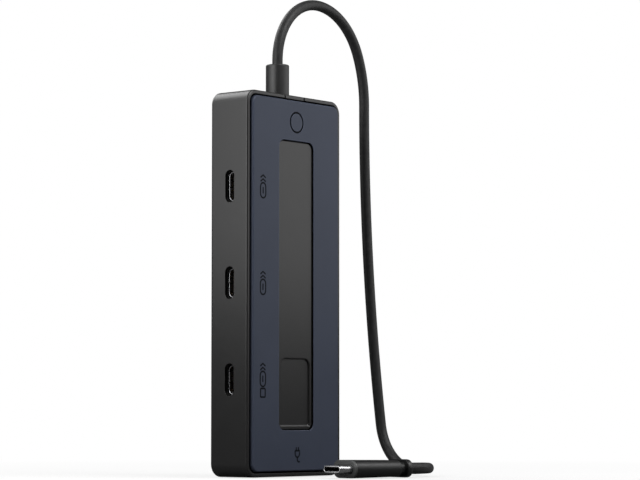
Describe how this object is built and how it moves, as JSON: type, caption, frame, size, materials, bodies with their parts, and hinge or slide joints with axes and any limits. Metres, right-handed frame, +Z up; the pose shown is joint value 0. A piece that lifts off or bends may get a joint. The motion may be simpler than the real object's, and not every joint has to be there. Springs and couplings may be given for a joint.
{
  "type": "laptop docking station",
  "caption": "Slim USB-C multiport hub standing on its end: black casing, navy face with a long inset panel, ports along one side, a captive cable ending in a USB-C plug.",
  "frame": {"origin": "on the flat bottom end of the casing, on the ground, in the middle of its width and 4.4 mm in front of the middle of the power port", "axes": "+Z up the length of the hub towards the cable, -Y out of the navy face, -X out of the side with the three ports"},
  "size_m": [0.0688, 0.0525, 0.1512],
  "materials": {
    "housing_plastic": "fine-grained black plastic",
    "navy_plastic": "fine-grained dark navy plastic",
    "panel_plastic": "satin black plastic",
    "black_plastic": "satin black plastic",
    "plate_plastic": "satin grey plastic",
    "foot_rubber": "matt black rubber",
    "cable_sheath": "matt black cable sheath",
    "bright_steel": "bright drawn steel",
    "tinned_steel": "tinned steel",
    "circuit_board": "green solder mask",
    "chip_resin": "moulded black resin",
    "grey_ferrite": "pressed grey ferrite",
    "tan_ceramic": "fired tan ceramic",
    "thermal_silicone": "soft blue silicone",
    "tongue_resin": "black liquid-crystal polymer"
  },
  "bodies": {
    "hub": {"lower_housing": "housing_plastic", "cable_gate": "housing_plastic", "top_cover": "navy_plastic", "centre_panel": "panel_plastic", "rubber_foot_low": "foot_rubber", "rubber_foot_high": "foot_rubber", "main_board": "circuit_board", "hub_controller": "chip_resin", "shield_can": "tinned_steel", "thermal_pad": "thermal_silicone", "power_controller": "chip_resin", "display_switch": "chip_resin", "flash_memory": "chip_resin", "clock_crystal": "tinned_steel", "power_inductor": "grey_ferrite", "input_capacitor": "tan_ceramic", "output_capacitor": "tan_ceramic", "cable_header": "black_plastic", "strain_relief_boot": "black_plastic", "cable_root": "cable_sheath", "cable_crimp": "tinned_steel", "upper_port_shell": "bright_steel", "upper_port_tongue": "tongue_resin", "middle_port_shell": "bright_steel", "middle_port_tongue": "tongue_resin", "lower_port_shell": "bright_steel", "lower_port_tongue": "tongue_resin", "power_port_shell": "bright_steel", "power_port_tongue": "tongue_resin", "board_screw_left_low": "bright_steel", "board_screw_left_high": "bright_steel", "board_screw_right_low": "bright_steel", "board_screw_right_high": "bright_steel"},
    "cable_link_01": {"cable_link_01": "cable_sheath"},
    "cable_link_02": {"cable_link_02": "cable_sheath"},
    "cable_link_03": {"cable_link_03": "cable_sheath"},
    "cable_link_04": {"cable_link_04": "cable_sheath"},
    "cable_link_05": {"cable_link_05": "cable_sheath"},
    "cable_link_06": {"cable_link_06": "cable_sheath"},
    "cable_link_07": {"cable_link_07": "cable_sheath"},
    "cable_link_08": {"cable_link_08": "cable_sheath"},
    "cable_link_09": {"cable_link_09": "cable_sheath"},
    "cable_link_10": {"cable_link_10": "cable_sheath"},
    "cable_link_11": {"cable_link_11": "cable_sheath"},
    "cable_link_12": {"cable_link_12": "cable_sheath"},
    "cable_link_13": {"cable_link_13": "cable_sheath"},
    "cable_link_14": {"cable_link_14": "cable_sheath"},
    "cable_link_15": {"cable_link_15": "cable_sheath"},
    "plug": {"plug_collar": "black_plastic", "plug_overmold": "black_plastic", "plug_front_plate": "plate_plastic", "plug_shell": "bright_steel", "plug_contact_carrier": "black_plastic", "plug_board": "circuit_board"}
  },
  "joints": [
    {"name": "cable_swivel", "type": "hinge", "parent": "hub", "child": "cable_link_01", "pos_m": [0, 0.0044, 0.1296], "axis": [0, 0, 1], "range_deg": [-15, 15]},
    {"name": "cable_lean", "type": "hinge", "parent": "cable_link_01", "child": "cable_link_02", "pos_m": [0.00268, 0.0044, 0.13959], "axis": [1, 0.0005, 0.0005], "range_deg": [-15, 5]},
    {"name": "cable_arc_1", "type": "hinge", "parent": "cable_link_02", "child": "cable_link_03", "pos_m": [0.01, 0.0044, 0.14691], "axis": [0.0005, -1, 0.0005], "range_deg": [-1, 14]},
    {"name": "cable_arc_2", "type": "hinge", "parent": "cable_link_03", "child": "cable_link_04", "pos_m": [0.01999, 0.0044, 0.14959], "axis": [0.0005, -1, 0.0005], "range_deg": [-1, 14]},
    {"name": "cable_arc_3", "type": "hinge", "parent": "cable_link_04", "child": "cable_link_05", "pos_m": [0.03252, 0.0044, 0.14588], "axis": [0.0005, -1, 0.0005], "range_deg": [-1, 14]},
    {"name": "cable_arc_4", "type": "hinge", "parent": "cable_link_05", "child": "cable_link_06", "pos_m": [0.04101, 0.0044, 0.13594], "axis": [0.0005, -1, 0.0005], "range_deg": [-1, 14]},
    {"name": "cable_arc_5", "type": "hinge", "parent": "cable_link_06", "child": "cable_link_07", "pos_m": [0.04447, 0.0044, 0.11963], "axis": [0.0005, -1, 0.0005], "range_deg": [-1, 14]},
    {"name": "cable_leg_1", "type": "hinge", "parent": "cable_link_07", "child": "cable_link_08", "pos_m": [0.04437, 0.00358, 0.08497], "axis": [0.0005, -1, 0.0005], "range_deg": [-2, 14]},
    {"name": "cable_leg_2", "type": "hinge", "parent": "cable_link_08", "child": "cable_link_09", "pos_m": [0.04404, 0.00112, 0.0504], "axis": [0.0005, -1, 0.0005], "range_deg": [-2, 14]},
    {"name": "cable_lift", "type": "hinge", "parent": "cable_link_09", "child": "cable_link_10", "pos_m": [0.0435, -0.00297, 0.01598], "axis": [-1, 0.0005, 0.0005], "range_deg": [-2, 25]},
    {"name": "cable_loop_1", "type": "hinge", "parent": "cable_link_10", "child": "cable_link_11", "pos_m": [0.03938, -0.01945, 0.00189], "axis": [0.0005, 0.0005, 1], "range_deg": [-2, 18]},
    {"name": "cable_loop_2", "type": "hinge", "parent": "cable_link_11", "child": "cable_link_12", "pos_m": [0.03688, -0.02509, 0.00216], "axis": [0.0005, 0.0005, 1], "range_deg": [-2, 18]},
    {"name": "cable_loop_3", "type": "hinge", "parent": "cable_link_12", "child": "cable_link_13", "pos_m": [0.03279, -0.0297, 0.00239], "axis": [0.0005, 0.0005, 1], "range_deg": [-2, 18]},
    {"name": "cable_loop_4", "type": "hinge", "parent": "cable_link_13", "child": "cable_link_14", "pos_m": [0.02748, -0.03286, 0.00258], "axis": [0.0005, 0.0005, 1], "range_deg": [-2, 18]},
    {"name": "cable_nod", "type": "hinge", "parent": "cable_link_14", "child": "cable_link_15", "pos_m": [0.02146, -0.03425, 0.0027], "axis": [0.2334, 0.9724, 0], "range_deg": [-2, 25]},
    {"name": "plug_flex", "type": "hinge", "parent": "cable_link_15", "child": "plug", "pos_m": [0.01531, -0.03375, 0.00274], "axis": [0.0005, 0.0005, 1], "range_deg": [-12, 12]}
  ],
  "couplings": [
    {"joint": "cable_arc_2", "follows": "cable_arc_1", "ratio": 1},
    {"joint": "cable_arc_3", "follows": "cable_arc_1", "ratio": 1},
    {"joint": "cable_arc_4", "follows": "cable_arc_1", "ratio": 1},
    {"joint": "cable_arc_5", "follows": "cable_arc_1", "ratio": 1},
    {"joint": "cable_leg_2", "follows": "cable_leg_1", "ratio": 1},
    {"joint": "cable_loop_2", "follows": "cable_loop_1", "ratio": 1},
    {"joint": "cable_loop_3", "follows": "cable_loop_1", "ratio": 1},
    {"joint": "cable_loop_4", "follows": "cable_loop_1", "ratio": 1}
  ]
}
